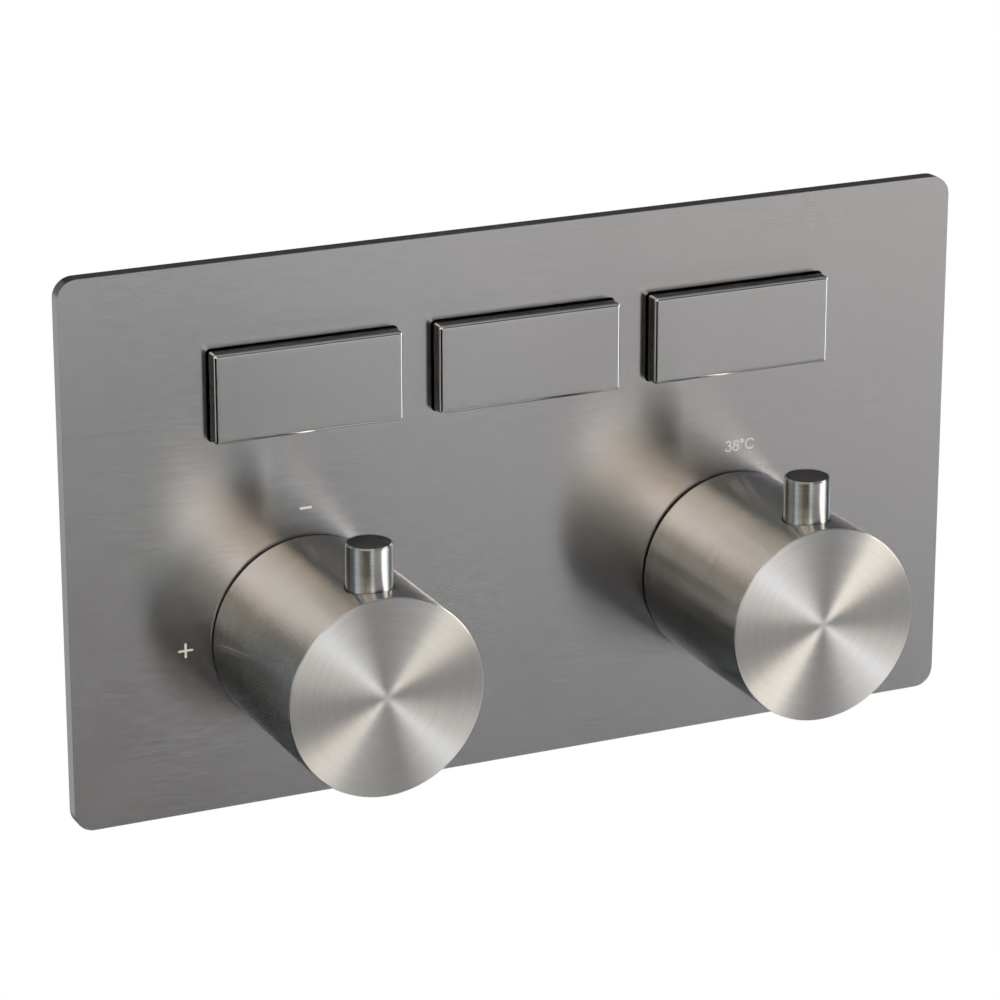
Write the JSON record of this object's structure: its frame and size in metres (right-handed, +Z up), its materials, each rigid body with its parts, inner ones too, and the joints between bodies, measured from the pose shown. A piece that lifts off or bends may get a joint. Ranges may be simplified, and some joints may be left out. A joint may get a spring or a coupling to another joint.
{
  "type": "thermostatic shower valve",
  "caption": "Concealed thermostatic shower valve: brushed steel face plate with a flow knob, a temperature knob and push buttons, over a brass valve body, cartridges and wall bracket.",
  "frame": {"origin": "centre of the face plate on the finished wall's plane, where the foam seal rests", "axes": "+X to the right as seen by the user, +Y into the wall, +Z up"},
  "size_m": [0.24, 0.1353, 0.1576],
  "materials": {
    "plate_steel": "fine horizontal brushing",
    "knob_steel": "turned, fine rings on the face and round the side",
    "bracket_steel": "zinc-plated sheet",
    "bright_steel": "machined",
    "spring_steel": "drawn wire",
    "brass": "cast and machined",
    "copper": "machined",
    "rubber": "matte",
    "dark_plastic": "moulded",
    "pale_plastic": "moulded",
    "disc_white": "lapped ceramic"
  },
  "bodies": {
    "valve": {"face_plate": "plate_steel", "plate_seal": "rubber", "stud_grips": "rubber", "support_frame": "bracket_steel", "frame_standoffs": "bright_steel", "frame_screws": "bright_steel", "button_guide": "dark_plastic", "guide_screws": "bright_steel", "valve_body": "brass", "wall_bracket": "bracket_steel", "bracket_screws": "bright_steel", "cartridge_nuts": "brass", "spindle_sleeves": "bright_steel", "sleeve_seals": "rubber", "cartridge_o_rings": "rubber", "flow_housing": "pale_plastic", "flow_stop_ring": "pale_plastic", "flow_fixed_disc": "disc_white", "flow_base_seal": "rubber", "temp_housing": "brass", "temp_stop_ring": "pale_plastic", "temp_base": "brass", "push_housing_left": "brass", "push_housing_middle": "brass", "push_housing_right": "brass", "check_body_hot": "pale_plastic", "check_body_cold": "pale_plastic", "inlet_filters": "bright_steel", "return_spring": "spring_steel", "button_spring_left": "spring_steel", "button_spring_middle": "spring_steel", "button_spring_right": "spring_steel", "check_spring_hot": "spring_steel", "check_spring_cold": "spring_steel"},
    "flow_control": {"flow_knob": "knob_steel", "flow_pin": "knob_steel", "flow_insert": "pale_plastic", "flow_grub": "bright_steel", "flow_spindle": "brass", "flow_moving_disc": "disc_white"},
    "temperature_control": {"temp_knob": "knob_steel", "temp_pin": "knob_steel", "temp_insert": "pale_plastic", "temp_grub": "bright_steel", "temp_spindle": "brass"},
    "thermostat": {"temp_pusher": "brass", "wax_element": "copper", "mixing_shuttle": "bright_steel"},
    "push_left": {"button_left": "plate_steel", "button_carrier_left": "dark_plastic", "plunger_left": "bright_steel"},
    "push_middle": {"button_middle": "plate_steel", "button_carrier_middle": "dark_plastic", "plunger_middle": "bright_steel"},
    "push_right": {"button_right": "plate_steel", "button_carrier_right": "dark_plastic", "plunger_right": "bright_steel"},
    "check_hot": {"check_poppet_hot": "pale_plastic"},
    "check_cold": {"check_poppet_cold": "pale_plastic"}
  },
  "joints": [
    {"name": "flow_turn", "type": "hinge", "parent": "valve", "child": "flow_control", "pos_m": [-0.0586, -0.03, -0.0266], "axis": [0, -1, 0], "range_deg": [0, 90]},
    {"name": "temperature_turn", "type": "hinge", "parent": "valve", "child": "temperature_control", "pos_m": [0.0586, -0.03, -0.0266], "axis": [0, -1, 0], "range_deg": [-150, 75]},
    {"name": "thermostat_slide", "type": "slide", "parent": "valve", "child": "thermostat", "axis": [0, -1, 0], "range_m": [-0.0014, 0.0008], "deforming": ["return_spring"]},
    {"name": "push_left_slide", "type": "slide", "parent": "valve", "child": "push_left", "axis": [0, 1, 0], "range_m": [0, 0.003], "stiffness_N_per_m": 500, "deforming": ["button_spring_left"]},
    {"name": "push_middle_slide", "type": "slide", "parent": "valve", "child": "push_middle", "axis": [0, 1, 0], "range_m": [0, 0.003], "stiffness_N_per_m": 500, "deforming": ["button_spring_middle"]},
    {"name": "push_right_slide", "type": "slide", "parent": "valve", "child": "push_right", "axis": [0, 1, 0], "range_m": [0, 0.003], "stiffness_N_per_m": 500, "deforming": ["button_spring_right"]},
    {"name": "check_hot_lift", "type": "slide", "parent": "valve", "child": "check_hot", "axis": [0, 0, 1], "range_m": [0, 0.003], "stiffness_N_per_m": 60, "deforming": ["check_spring_hot"]},
    {"name": "check_cold_lift", "type": "slide", "parent": "valve", "child": "check_cold", "axis": [0, 0, 1], "range_m": [0, 0.003], "stiffness_N_per_m": 60, "deforming": ["check_spring_cold"]}
  ],
  "couplings": [
    {"joint": "thermostat_slide", "follows": "temperature_turn", "m_per_rad": 0.00047746}
  ]
}
